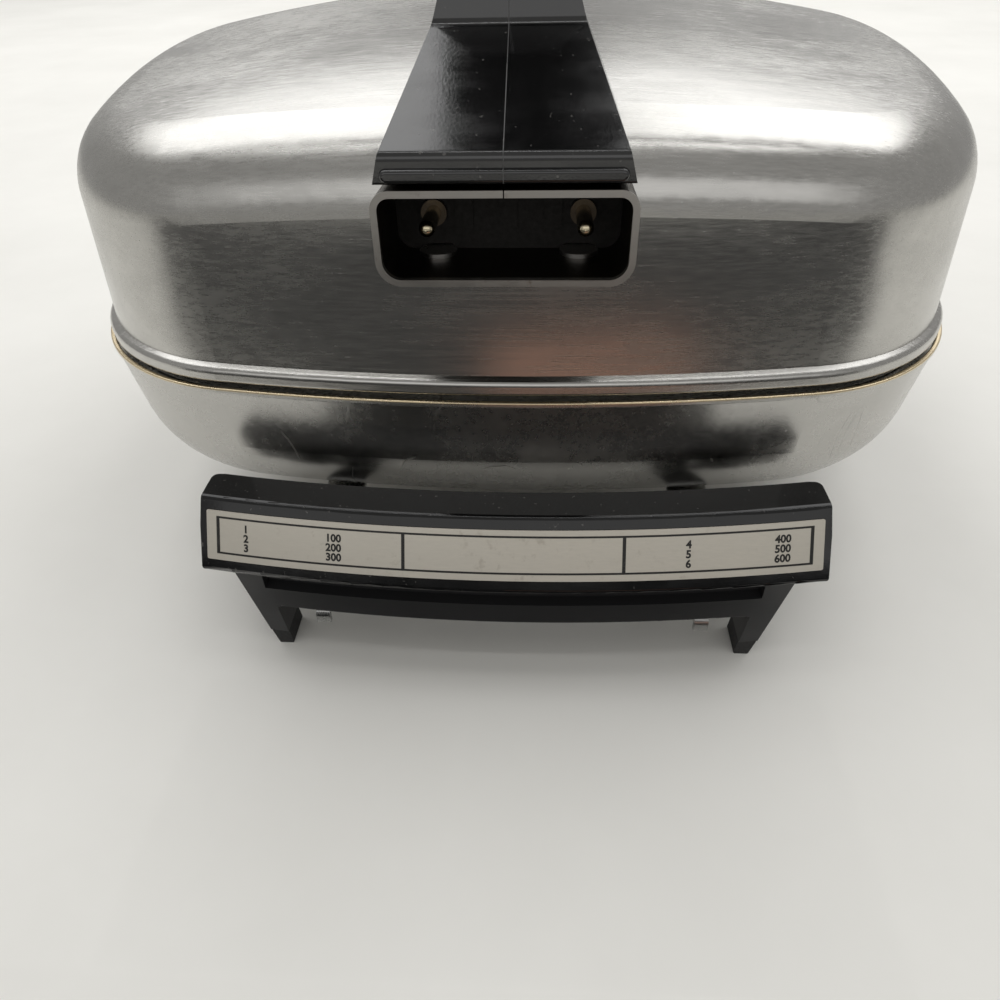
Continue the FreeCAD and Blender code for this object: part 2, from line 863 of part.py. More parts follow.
def element_clips():
    """Saddle clips that hang the broiler rod from the reflector."""
    inner = broiler_radius + clip_clearance
    rod_z = broiler_rod_z()
    path = [
        (inner + clip_foot, reflector_z, 0),
        (inner, reflector_z, clip_sheet),
        (inner, rod_z - inner, inner),
        (-inner, rod_z - inner, inner),
        (-inner, reflector_z, clip_sheet),
        (-inner - clip_foot, reflector_z, 0),
    ]
    clip = front_face(bent_strip(path, clip_sheet), 0).extrude(Vector(0, clip_width, 0))
    clips = []
    for x in (-broiler_side_x, -broiler_pitch / 2, broiler_pitch / 2, broiler_side_x):
        for y in clip_rows:
            clips.append(clip.translated(Vector(x, y - clip_width / 2, 0)))
    return Part.makeCompound(clips)


def lid_handle():
    """Moulded bridge handle, wide at its front foot, with a gap for the fingers over the crown."""
    lean = math.tan(math.radians(lid_draft_deg))
    under_back = grip_foot_z - lean * (grip_under_y - grip_foot_y)
    profile = across([
        (grip_foot_y, grip_foot_z, 0.6),
        (grip_foot_y, grip_lip_z, grip_lip_round),
        (grip_knee_y, grip_knee_z, grip_knee_round),
        (grip_front_y, grip_top_z, 16.0),
        (grip_back_y - 3.0, grip_top_z, 22.0),
        (grip_back_y, grip_foot_z, 0),
        (grip_under_y, under_back, 0),
    ], grip_foot_half + 1.0)
    gap_top = grip_top_z - grip_thickness
    gap = across([
        (grip_gap_front_y, grip_foot_z - 5.0, 0),
        (grip_gap_back_y, grip_foot_z - 5.0, 0),
        (grip_gap_back_y, gap_top, 11.0),
        (grip_gap_front_y, gap_top, 11.0),
    ], grip_foot_half + 1.0)
    half_outline = [
        (grip_foot_half, grip_foot_z - 5.0, 0),
        (grip_lip_half, grip_lip_z, 0),
        (grip_knee_half, grip_knee_z, 20.0),
        (grip_half, gap_top, 20.0),
        (grip_half, grip_top_z, grip_round),
    ]
    outline = half_outline + [(-x, z, radius) for x, z, radius in reversed(half_outline)]
    width = front_face(outline, grip_foot_y - 1.0).extrude(Vector(0, grip_back_y - grip_foot_y + 2.0, 0))
    body = profile.common(width).cut(gap).cut(lid_block(-grip_seat_gap)).Solids[0]
    body = body.fuse(grip_bead())
    for start in grip_screw_starts():
        surface = crown_z - crown_radius + math.sqrt(crown_radius ** 2 - start.y ** 2)
        depth = surface + grip_screw_depth + 1.0 - start.z
        body = body.cut(cylinder(grip_screw_radius + hole_gap, depth, start))
    return body.removeSplitter()


def grip_bead():
    """Raised oval rib across the front of the handle's foot."""
    tall = grip_bead_height / 2
    middle = grip_foot_z + grip_bead_rise
    corners = [
        (-grip_bead_half, middle - tall, tall),
        (grip_bead_half, middle - tall, tall),
        (grip_bead_half, middle + tall, tall),
        (-grip_bead_half, middle + tall, tall),
    ]
    rib = front_face(corners, grip_foot_y - grip_bead_proud).extrude(Vector(0, 2 * grip_bead_proud, 0))
    front = [edge for edge in rib.Edges if edge.BoundBox.YMax < grip_foot_y - grip_bead_proud / 2]
    return rib.makeFillet(grip_bead_round, front)


def bowed(corners, half_width):
    """Solid of a (y, z) outline turned about the front bar's bow axis, as wide as twice half_width."""
    axis = Vector(0, bar_bow_radius - bar_front_y, 0)
    sweep = math.degrees(math.asin(half_width / bar_bow_radius)) * 2
    section = side_face(corners, 0)
    section.rotate(axis, up, -sweep / 2)
    return section.revolve(axis, up, sweep)


def fascia_point(along, out):
    """Point (y, z) on the sloping front: a distance down from its top edge, and one out of it."""
    tilt = math.radians(fascia_tilt_deg)
    y = -bar_front_y - along * math.sin(tilt) - out * math.cos(tilt)
    z = bar_front_top_z - along * math.cos(tilt) + out * math.sin(tilt)
    return (y, z)


def bar_screw_starts():
    """Where the bar's two screws meet the brackets' undersides."""
    low = bracket_low_z
    return [Vector(side * bracket_x, -bar_screw_y, low) for side in (-1, 1)]


def middle_slab(half_width):
    """Block in front of the middle of the pan, as wide as twice half_width."""
    side = Vector(half_width, 0, 0)
    return block(into * -drop_front - side, side + up * bar_top_z)


def bar_front_profile(foot_z):
    """Corners of the bar's front in side view, closed at a foot height and behind."""
    nose_y = bar_front_y + (bar_front_top_z - fascia_bottom_z) * math.tan(math.radians(fascia_tilt_deg))
    top_slope = (bar_top_z - bar_front_top_z) / (bar_front_y - bar_rear_y)
    return [
        (-bar_deep_y, bar_top_z + top_slope * (bar_rear_y - bar_deep_y), 0),
        (-bar_front_y, bar_front_top_z, bar_edge_round),
        (-nose_y, fascia_bottom_z, nose_round),
        (-apron_y, fascia_bottom_z - fascia_lip, 0),
        (-apron_y, foot_z, apron_edge_round),
        (-bar_deep_y, foot_z, 0),
    ]


def bar_groove():
    """Shadow groove under the sloping front, between the legs."""
    high = fascia_bottom_z - fascia_lip
    low = high - groove_height
    ring = bowed([
        (-apron_y - groove_depth, high, 0),
        (-apron_y + groove_depth, high, 0),
        (-apron_y + groove_depth, low, 0),
        (-apron_y - groove_depth, low - groove_slope, 0),
    ], bar_half)
    return ring.common(middle_slab(groove_half))


def bar_cavity():
    """Hollow behind the bar's front, open behind and below, between the legs."""
    inner_y = apron_y - groove_depth - apron_wall
    lower_y = apron_y - apron_wall
    groove_low = fascia_bottom_z - fascia_lip - groove_height
    low = apron_bottom_z - 5.0
    hollow = bowed([
        (-bar_deep_y + 10.0, bar_top_z - bar_wall, 0),
        (-bar_front_y + bar_wall / 2, bar_front_top_z - bar_wall, 0),
        (-inner_y, fascia_bottom_z + 4.0, 0),
        (-inner_y, groove_low - bar_wall / 2, 0),
        (-lower_y, groove_low - bar_wall, 0),
        (-lower_y, low, 0),
        (-bar_deep_y + 10.0, low, 0),
    ], bar_half + cavity_past)
    return hollow.common(middle_slab(leg_inner_top_half))


def bar_front_view():
    """Front outline of the bar and its legs, extruded from front to rear."""
    half_view = [
        (leg_inner_top_half, apron_bottom_z, 0),
        (leg_inner_half, leg_foot_z, 0),
        (leg_foot_half, leg_foot_z, 0),
        (leg_top_half, leg_top_z, 0),
        (leg_top_half + 0.4, fascia_bottom_z - fascia_lip, 0),
        (bar_half - bar_end_taper, fascia_bottom_z - fascia_lip, bar_end_round),
        (bar_half, bar_top_z, bar_edge_round),
    ]
    view = half_view + [(-x, z, radius) for x, z, radius in reversed(half_view)]
    return front_face(view, -drop_front).extrude(into * (drop_front - bar_rear_y))


def bar_legs():
    """Rough blocks of the two legs, trimmed later by the bar's outlines."""
    legs = []
    for side in (-1, 1):
        x_range = sorted((side * leg_inner_half, side * leg_top_half))
        low = Vector(x_range[0], -leg_front_y, leg_foot_z)
        high = Vector(x_range[1], -leg_back_y, bar_top_z - bar_wall)
        legs.append(block(low, high))
    return legs


def bar():
    """Moulded front bar: sloping bowed front, apron between two legs, open behind."""
    front = bowed(bar_front_profile(apron_bottom_z), bar_half + cavity_past)
    pieces = [front.cut(bar_cavity())] + bar_legs()
    for start in bar_screw_starts():
        seat = start + up * bracket_sheet
        pieces.append(cylinder(bar_boss_radius, bar_top_z - 1.0 - seat.z, seat))
    body = fused(pieces).common(bowed(bar_front_profile(0), bar_half + cavity_past))
    body = body.common(bar_front_view()).common(end_taper()).cut(bar_groove())
    for start in bar_screw_starts():
        body = body.cut(cylinder(bar_screw_radius + hole_gap, bracket_sheet + bar_screw_length + 1.0, start))
    return body.removeSplitter()


def end_taper():
    """Plan outline of the bar: narrower at its rear edge, which follows the pan's bowed side."""
    lean = (bar_half - bar_rear_half) / (bar_front_y - bar_rear_y)
    front_half = bar_half + lean * (drop_front - bar_front_y)
    corners = [
        (front_half, -drop_front, 0),
        (bar_rear_half, -bar_rear_y, bar_edge_round),
        (-bar_rear_half, -bar_rear_y, bar_edge_round),
        (-front_half, -drop_front, 0),
    ]
    plan = flat_face(corners, lambda x, y: Vector(x, y, 0)).extrude(up * drop_below)
    side_centre = Vector(0, side_radius - rim_half, 0)
    return plan.cut(cylinder(side_radius + bar_pan_gap, drop_below, side_centre))


def to_rear(shape):
    """Turn a piece of the front bar to the rear."""
    return shape.copy().rotated(origin, up, 180)


def plate_form(grow):
    """Bowed plate on the sloping front, with rounded corners, grown all round."""
    inner = -plate_seat - grow
    outer = plate_sheet - plate_seat + grow
    start = plate_from_top - grow
    end = plate_from_top + plate_width + grow
    corners = [fascia_point(a, b) for a, b in ((start, inner), (end, inner), (end, outer), (start, outer))]
    skin = bowed([(y, z, 0) for y, z in corners], bar_half)
    skin = skin.common(middle_slab(plate_half + grow)).Solids[0]
    short = [edge for edge in skin.Edges if edge.Length < 2 * (plate_sheet + 2 * grow)]
    return skin.makeFillet(plate_round + grow, short)


def front_bar():
    """The front bar with a shallow seat for its plate."""
    return bar().cut(plate_form(plate_gap))


def front_plate():
    return plate_form(0)


def rear_bar():
    """The rear bar, with a raised seat for the hinge and holes for its screws."""
    low = Vector(-hinge_half_width - hinge_seat_margin, hinge_seat_y, bar_top_z - hinge_seat_height)
    high = Vector(hinge_half_width + hinge_seat_margin, hinge_seat_end_y, bar_top_z)
    body = to_rear(bar()).fuse(block(low, high)).removeSplitter()
    for place in hinge_screw_places():
        depth = hinge_screw_length + 1.0
        body = body.cut(cylinder(hinge_screw_radius + hole_gap, depth, place - up * depth))
    return body


def foot_pads():
    """Pads under the four legs, which carry on the legs' slant."""
    corners = [
        (leg_inner_half, leg_foot_z, 0),
        (pad_inner_half, 0, pad_round),
        (pad_outer_half, 0, pad_round),
        (leg_foot_half - pad_notch, leg_foot_z, 0),
    ]
    pad = front_face(corners, -pad_front_y).extrude(Vector(0, pad_front_y - leg_back_y, 0))
    left_pad = pad.mirror(origin, Vector(1, 0, 0))
    return Part.makeCompound([pad, left_pad, to_rear(pad), to_rear(left_pad)])


def bar_brackets():
    """Two bent steel straps from the studs under the pan out to the front bar's bosses."""
    top = pan_bottom_z - stud_boss_height
    path = [
        (-bracket_end_y, bracket_low_z, 0),
        (-bracket_foot_y, bracket_low_z, 3.0),
        (-bracket_knee_y, top - bracket_sheet, 3.0),
        (-bracket_rear_y, top - bracket_sheet, 0),
    ]
    lip_path = [
        (-bracket_end_y, bracket_low_z - bracket_lip_drop, 0),
        (-bracket_end_y, bracket_low_z, bracket_lip_bend),
        (-bar_screw_y, bracket_low_z, 0),
    ]
    path[0] = (-bracket_end_y + bracket_lip_bend, bracket_low_z, 0)
    straps = []
    for side in (-1, 1):
        x = side * bracket_x
        strap = across(bent_strip(path, bracket_sheet), bracket_width / 2, x)
        strap = fused([strap, across(bent_strip(lip_path, bracket_sheet), bracket_lip_width / 2, x)])
        stud = Vector(x, -bracket_stud_y, top - 2 * bracket_sheet)
        screw = Vector(x, -bar_screw_y, bracket_low_z - 1.0)
        strap = strap.cut(cylinder(stud_radius + hole_gap, 3 * bracket_sheet, stud))
        straps.append(strap.cut(cylinder(bar_screw_radius + hole_gap, 3 * bracket_sheet, screw)))
    return Part.makeCompound(straps)


def bracket_studs():
    """Threaded studs that stand down from the pan's bosses."""
    low = pan_bottom_z - stud_length
    studs = []
    for place in stud_places():
        studs.append(cylinder(stud_radius, stud_length, place + up * low))
    return Part.makeCompound(studs)


def bracket_nuts():
    """Hexagon nuts on the studs, under the straps."""
    low = pan_bottom_z - stud_boss_height - bracket_sheet - nut_height
    nuts = []
    for place in stud_places():
        start = place + up * low
        nut = hexagon(nut_across, nut_height, start)
        nuts.append(nut.cut(cylinder(stud_radius + thread_gap, nut_height, start)))
    return Part.makeCompound(nuts)


def bar_screws():
    """Screws up through the straps into the bosses of both bars."""
    screws = []
    for start in bar_screw_starts():
        head = cylinder(bar_screw_head_radius, bar_screw_head_height, start - up * bar_screw_head_height)
        shank = cylinder(bar_screw_radius, bracket_sheet + bar_screw_length, start)
        screw = fused([head, shank])
        screws += [screw, to_rear(screw)]
    return Part.makeCompound(screws)


def hinge_screw_places():
    """Where the hinge bracket's two screws enter the rear bar's top."""
    y = stop_web_y - hinge_base_depth / 2 + hinge_screw_setback
    return [Vector(side * hinge_screw_spacing / 2, y, bar_top_z) for side in (-1, 1)]


def hinge_bracket():
    """Steel bracket on the rear bar: screwed base, stop web and two ears for the pin."""
    inner = hinge_half_width - hinge_sheet
    path = [
        (stop_web_y - hinge_base_depth + hinge_sheet, bar_top_z, 0),
        (stop_web_y + hinge_sheet, bar_top_z, hinge_base_bend),
        (stop_web_y + hinge_sheet, stop_web_z, 0),
    ]
    web = across(bent_strip(path, hinge_sheet), hinge_half_width)
    ear_low = bar_top_z + 2 * hinge_sheet
    ear = [
        (stop_web_y, ear_low, 0),
        (hinge_y, ear_low, 0),
        (hinge_y + ear_radius, hinge_z - ear_radius, 4.0),
        (hinge_y + ear_radius, hinge_z + ear_radius, ear_radius - 0.1),
        (hinge_y - ear_radius, hinge_z + ear_radius, ear_radius - 0.1),
        (stop_web_y, hinge_z - ear_radius, 0),
    ]
    ears = [across(ear, hinge_sheet / 2, side * (inner + hinge_sheet / 2)) for side in (-1, 1)]
    bracket = fused([web] + ears)
    bracket = bracket.cut(hinge_bore(hinge_pin_radius + hole_gap / 3))
    for place in hinge_screw_places():
        bracket = bracket.cut(cylinder(hinge_screw_radius + hole_gap, hinge_sheet, place))
    return bracket


def hinge_bore(radius):
    """Cylinder on the hinge axis, long enough to pass both ears."""
    start = Vector(-hinge_half_width - 1.0, hinge_y, hinge_z)
    return cylinder(radius, 2 * hinge_half_width + 2.0, start, Vector(1, 0, 0))


def hinge_screws():
    """Two screws that hold the hinge bracket on the rear bar."""
    screws = []
    for place in hinge_screw_places():
        head = cylinder(hinge_screw_head_radius, hinge_screw_head_height, place + up * hinge_sheet)
        shank = cylinder(hinge_screw_radius, hinge_screw_length + hinge_sheet, place - up * hinge_screw_length)
        screws.append(fused([head, shank]))
    return Part.makeCompound(screws)


def hinge_pin():
    """Pin through both ears, headed over at each end."""
    reach = hinge_half_width + hinge_side_gap
    start = Vector(-reach, hinge_y, hinge_z)
    along = Vector(1, 0, 0)
    shank = cylinder(hinge_pin_radius, 2 * reach, start, along)
    heads = []
    for x in (-reach - hinge_pin_head_height, reach):
        heads.append(cylinder(hinge_pin_head_radius, hinge_pin_head_height, Vector(x, hinge_y, hinge_z), along))
    return fused([shank] + heads)


def wall_y(z):
    """Depth of the lid's rear outer face at a height."""
    return rim_half - lid_wall_inset - math.tan(math.radians(lid_draft_deg)) * (z - lid_bead_z)


def heel_angle():
    """Angle of the stop heel below the horizontal at rest, so that it meets the web when open."""
    reach = math.hypot(heel_reach, heel_sheet / 2)
    to_web = hinge_y - stop_web_y - hinge_sheet
    past_down = math.asin(to_web / reach) - math.atan2(heel_sheet / 2, heel_reach)
    return 90 + math.degrees(past_down) - open_deg - stop_gap_deg


def lid_hinge_leaf():
    """Steel leaf riveted to the lid's rear wall, with a knuckle and a stop heel."""
    bend_y = wall_y(leaf_bend_z - leaf_sheet) + leaf_wall_gap
    path = [
        (wall_y(leaf_top_z) + leaf_wall_gap, leaf_top_z, 0),
        (bend_y, leaf_bend_z - leaf_sheet, leaf_bend_round),
        (bend_y + 6.0, leaf_bend_z - leaf_sheet, leaf_bend_round),
        (hinge_y, hinge_z + knuckle_radius - leaf_sheet, 0),
    ]
    leaf = across(bent_strip(path, leaf_sheet), leaf_half_width)
    knuckle_start = Vector(-leaf_half_width, hinge_y, hinge_z)
    knuckle = cylinder(knuckle_radius, 2 * leaf_half_width, knuckle_start, Vector(1, 0, 0))
    heel = across([
        (hinge_y, hinge_z - heel_sheet / 2, 0),
        (hinge_y + heel_reach, hinge_z - heel_sheet / 2, 0),
        (hinge_y + heel_reach, hinge_z + heel_sheet / 2, 0),
        (hinge_y, hinge_z + heel_sheet / 2, 0),
    ], heel_half_width)
    heel.rotate(Vector(0, hinge_y, hinge_z), Vector(1, 0, 0), -heel_angle())
    leaf = fused([leaf, knuckle, heel]).cut(hinge_bore(hinge_pin_radius + hinge_running_gap))
    for hole in leaf_rivet_shanks(hole_gap):
        leaf = leaf.cut(hole)
    return leaf


def leaf_rivet_places():
    """Where the leaf's rivets cross the lid's rear face."""
    return [Vector(side * leaf_rivet_spacing / 2, wall_y(z), z) for z in leaf_rivet_rows for side in (-1, 1)]


def square_to_wall(shape, place):
    """Turn a piece that lies along +Y at the origin square to the rear wall, and set it there."""
    placed = shape.copy()
    placed.rotate(origin, Vector(1, 0, 0), lid_draft_deg)
    placed.translate(place)
    return placed


def leaf_rivet_shanks(gap):
    inside = lid_sheet + rivet_inner_gap
    length = inside + leaf_wall_gap + leaf_sheet
    shank = cylinder(rivet_shank_radius + gap, length, Vector(0, -inside, 0), into)
    return [square_to_wall(shank, place) for place in leaf_rivet_places()]


def lid_hinge_rivets():
    """Four round-headed rivets through the leaf and the lid's wall."""
    inside = lid_sheet + rivet_inner_gap
    outer_face = leaf_wall_gap + leaf_sheet
    head = cylinder(leaf_rivet_head_radius, leaf_rivet_head_height, Vector(0, outer_face, 0), into)
    tail = cylinder(leaf_rivet_head_radius, leaf_rivet_head_height, Vector(0, -inside - leaf_rivet_head_height, 0), into)
    rim = [edge for edge in head.Edges if edge.BoundBox.YMin > outer_face + leaf_rivet_head_height / 2]
    head = head.makeFillet(leaf_rivet_head_height * 0.7, rim)
    rivets = []
    for shank, place in zip(leaf_rivet_shanks(0), leaf_rivet_places()):
        rivets.append(fused([shank, square_to_wall(head, place), square_to_wall(tail, place)]))
    return Part.makeCompound(rivets)


def base_inlet_plate():
    """Plate of the base inlet, with a hole for the probe."""
    hole = cylinder(probe_bore_radius + 0.5, terminal_plate, probe_axis(inlet_depth), into)
    return inlet_plate([], hole)


def lid_inlet_plate():
    """Plate of the lid's inlet, with three low lugs."""
    return inlet_plate([-terminal_tab_spacing, 0.0, terminal_tab_spacing])


def sub_parts():
    """Every node's name and shape."""
    parts = {
        "pan": pan(),
        "pan_element": pan_element(),
        "probe_sleeve": probe_sleeve(),
        "base_inlet_shroud": under_pan(inlet_shroud()),
        "base_inlet_bracket": under_pan(base_inlet_bracket()),
        "base_inlet_screws": under_pan(inlet_bracket_screws()),
        "base_inlet_rivets": under_pan(inlet_rivets()),
        "base_inlet_plate": under_pan(base_inlet_plate()),
        "base_inlet_insulators": under_pan(inlet_insulators()),
        "base_inlet_ferrules": under_pan(inlet_ferrules()),
        "base_inlet_pins": under_pan(inlet_pins()),
        "front_bar": front_bar(),
        "front_plate": front_plate(),
        "rear_bar": rear_bar(),
        "foot_pads": foot_pads(),
        "front_brackets": bar_brackets(),
        "rear_brackets": to_rear(bar_brackets()),
        "bracket_studs": bracket_studs(),
        "bracket_nuts": bracket_nuts(),
        "bar_screws": bar_screws(),
        "hinge_bracket": hinge_bracket(),
        "hinge_screws": hinge_screws(),
        "hinge_pin": hinge_pin(),
        "lid_shell": lid_shell(),
        "lid_hinge_leaf": lid_hinge_leaf(),
        "lid_hinge_rivets": lid_hinge_rivets(),
        "lid_inlet_shroud": on_lid(inlet_shroud()),
        "lid_inlet_tongue": on_lid(lid_tongue()),
        "lid_inlet_rivets": on_lid(inlet_rivets()),
        "lid_inlet_plate": on_lid(lid_inlet_plate()),
        "lid_inlet_insulators": on_lid(inlet_insulators()),
        "lid_inlet_ferrules": on_lid(inlet_ferrules()),
        "lid_inlet_pins": on_lid(inlet_pins()),
        "reflector": reflector(),
        "reflector_spacers": reflector_spacers(),
        "broiler_element": broiler_element(),
        "element_clips": element_clips(),
        "lid_handle": lid_handle(),
        "lid_handle_screws": lid_handle_screws(),
    }
    return parts


if __name__ == "__main__":
    os.makedirs("parts", exist_ok=True)
    for name, shape in sub_parts().items():
        shape.exportStep("parts/" + name + ".step")
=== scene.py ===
import json
import math

import bmesh
import bpy
from mathutils import Matrix, Vector


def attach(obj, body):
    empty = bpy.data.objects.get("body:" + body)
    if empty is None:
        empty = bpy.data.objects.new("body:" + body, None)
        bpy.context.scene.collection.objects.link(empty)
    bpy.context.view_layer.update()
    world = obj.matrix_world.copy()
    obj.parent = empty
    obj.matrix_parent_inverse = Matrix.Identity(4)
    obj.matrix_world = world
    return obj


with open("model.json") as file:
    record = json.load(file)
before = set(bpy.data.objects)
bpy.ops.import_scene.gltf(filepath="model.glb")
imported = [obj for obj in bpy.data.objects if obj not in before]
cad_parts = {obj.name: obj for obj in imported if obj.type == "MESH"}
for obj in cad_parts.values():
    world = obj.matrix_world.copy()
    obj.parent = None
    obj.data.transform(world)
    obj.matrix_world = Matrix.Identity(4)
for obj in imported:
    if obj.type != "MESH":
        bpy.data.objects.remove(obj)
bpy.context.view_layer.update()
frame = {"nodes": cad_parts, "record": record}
nodes = frame["nodes"]
MM = 0.001

# Camera, solved from the photograph
CAMERA_AT = Vector((8.62398253, -338.52157708, 204.38449452)) * MM
CAMERA_RIGHT = Vector((0.99862162, 0.04837488, -0.02036471))
CAMERA_UP = Vector((-0.01510233, 0.63641894, 0.77119573))
CAMERA_AHEAD = Vector((-0.05026699, 0.76982518, -0.63627229))
CAMERA_LENS = 27.036
CAMERA_SENSOR = 36.0

# Front bar and plate, the same values as in the CAD source, in millimetres
BOW_RADIUS = 600.0
BAR_FRONT = 167.6
BAR_FRONT_TOP = 56.4
FASCIA_TILT = math.radians(33.9)
PLATE_TOP = 3.9
PLATE_PROUD = 0.4

# Print on the plate, in millimetres: across from its middle and down from its upper edge
PRINT_HALF_THICK = 0.03
PRINT_STEP = 4.0
FRAME_LEFT, FRAME_RIGHT = -92.4, 92.4
FRAME_TOP, FRAME_LOW = 1.75, 13.6
FRAME_LINE = 0.62
FRAME_POST = 1.05
INNER_POSTS = (-32.8, 34.3)
NUMBER_COLUMNS = ((-83.4, ("1", "2", "3")), (-56.6, ("100", "200", "300")),
                  (53.4, ("4", "5", "6")), (80.4, ("400", "500", "600")))
NUMBER_SIZE = 3.3
NUMBER_BOLD = 0.12
NUMBER_HALF_THICK = 0.02
NUMBER_CURVE_STEPS = 3
FIRST_BASE_LINE = 6.1
LINE_PITCH = 2.97

# Mould line on the handle, in metres
SEAM_HALF_WIDTH = 0.00016
SEAM_PROUD = 0.00010
SEAM_CREST = 0.4
SEAM_BACK_Y = 0.03
SEAM_SLOPE_Z = 0.156
SEAM_END_Z = 0.2134

# Heights and places where a finish, the painted rim highlight and the painted inlet shade change,
# in metres: each pair is a ramp
# Painted highlight: the pan's rim top above this height is painted a bright golden colour
RIM_HIGHLIGHT_Z = 0.0862
RIM_HIGHLIGHT_RAMP = 0.0004
MATT_LEGS_Z = 0.0345
MATT_RAMP = 0.0015
# Painted shade: the insides of the lid's and the base's inlets are painted dark between these
# places
LID_INLET_MOUTH_Y = (-0.1669, -0.1663)
LID_INLET_Z = (0.09, 0.10)
BASE_INLET_MOUTH_X = (0.1488, 0.1494)
BASE_INLET_Y = (-0.10, -0.09)

# Colours used where a finish changes, for the painted rim highlight and for the painted shade
# inside the inlets
# Painted highlight colour of the pan's rim top
RIM_HIGHLIGHT_TINT = (0.74, 0.62, 0.42)
# Painted shade colour inside the inlets
INLET_PAINTED_SHADE = (0.045, 0.036, 0.026)
MATT_BLACK = (0.021, 0.021, 0.022)
DUST = (0.32, 0.31, 0.29)

# Soft lamps: name, place, point aimed at, two side lengths and power
LAMPS = (
    ("overhead_left", (-0.95, 1.35, 1.6), (-0.95, 1.35, 0.0), 1.5, 3.0, 27.0),
    ("overhead_right", (0.95, 1.35, 1.6), (0.95, 1.35, 0.0), 1.5, 3.0, 27.0),
    ("front_soft", (0.0, -1.3, 0.66), (0.0, -0.1, 0.08), 2.2, 0.5, 1.9),
    ("tube", (0.0, -0.45, 1.6), (0.0, -0.1, 0.1), 2.0, 0.05, 1.9),
)

# Cards that show only in reflections: name, two opposite corners and colour
CARDS = (
    ("front_card", (-0.43, -0.325, 0.0005), (0.43, -0.325, 0.105), (0.095, 0.095, 0.095)),
    ("near_card", (-0.100, -0.274, 0.0005), (0.100, -0.186, 0.0005), (0.02, 0.02, 0.02)),
    ("far_card", (-0.43, -0.325, 0.0005), (0.43, -0.275, 0.0005), (0.11, 0.107, 0.10)),
    ("ceiling_card", (-0.2, -0.1, 1.58), (0.2, 2.0, 1.58), (0.02, 0.02, 0.02)),
    ("warm_card", (-0.02, -0.29, 0.001), (0.115, -0.324, 0.040), (0.42, 0.25, 0.19)),
)
TABLE_SIZE = 6.0
AROUND_COLOUR = (0.88, 0.87, 0.85, 1)
AROUND_STRENGTH = 0.42
BACKDROP_COLOUR = (0.84, 0.84, 0.82, 1)


# Materials

def new_material(name):
    """An empty node material: its tree, its principled shader and a maker of nodes."""
    mat = bpy.data.materials.new(name)
    mat.use_nodes = True
    tree = mat.node_tree
    shader = tree.nodes["Principled BSDF"]

    def make(kind, inputs=None, **settings):
        node = tree.nodes.new(kind)
        for key, value in settings.items():
            setattr(node, key, value)
        for key, value in (inputs or {}).items():
            if hasattr(value, "is_output"):
                tree.links.new(value, node.inputs[key])
            else:
                node.inputs[key].default_value = value
        return node

    return mat, tree, shader, make


def place(make, stretch=(1, 1, 1)):
    """Coordinates in metres on the object, scaled by stretch."""
    where = make("ShaderNodeTexCoord").outputs["Object"]
    return make("ShaderNodeMapping", {"Vector": where, "Scale": stretch}).outputs["Vector"]


def noise(make, vector, scale, detail=4.0, rough=0.55, distort=0.0):
    """Noise value at a vector."""
    return make("ShaderNodeTexNoise", {
        "Vector": vector, "Scale": scale, "Detail": detail, "Roughness": rough,
        "Distortion": distort}).outputs["Fac"]


def span(make, value, low, high, out_low, out_high):
    """Value remapped from low..high to out_low..out_high, clamped."""
    return make("ShaderNodeMapRange", {
        "Value": value, "From Min": low, "From Max": high,
        "To Min": out_low, "To Max": out_high}).outputs["Result"]


def of_type(sockets, kind):
    """Those of a mix node's sockets that are of one type, in their order."""
    return [socket for socket in sockets if socket.type == kind]


def blend(make, factor, one, two):
    """Colour mix of one and two by a factor."""
    node = make("ShaderNodeMix", data_type="RGBA")
    targets = of_type(node.inputs, "VALUE")[:1] + of_type(node.inputs, "RGBA")
    for socket, value in zip(targets, (factor, one, two)):
        if hasattr(value, "is_output"):
            node.id_data.links.new(value, socket)
        else:
            socket.default_value = value if socket.type == "VALUE" else (*value, 1)
    return of_type(node.outputs, "RGBA")[0]


def darker(colour, share):
    """A colour times a share; above 1 it gets lighter."""
    return tuple(c * share for c in colour)


def maths(make, operation, one, two=0.0):
    """Result of one maths node."""
    return make("ShaderNodeMath", {0: one, 1: two}, operation=operation).outputs[0]


def bump(make, height, strength, distance, normal=None):
    """Normal bent by a height, on top of another normal if one is given."""
    inputs = {"Height": height, "Strength": strength, "Distance": distance}
    if normal is not None:
        inputs["Normal"] = normal
    return make("ShaderNodeBump", inputs).outputs["Normal"]


def scratches(make, stretch, scale, threshold):
    """Sparse thin lines: 1 on a scratch and 0 elsewhere."""
    cells = noise(make, place(make, stretch), scale, 2.0, 0.5, 0.4)
    near = maths(make, "ABSOLUTE", maths(make, "SUBTRACT", cells, 0.5))
    return span(make, near, 0.0, threshold, 1.0, 0.0)


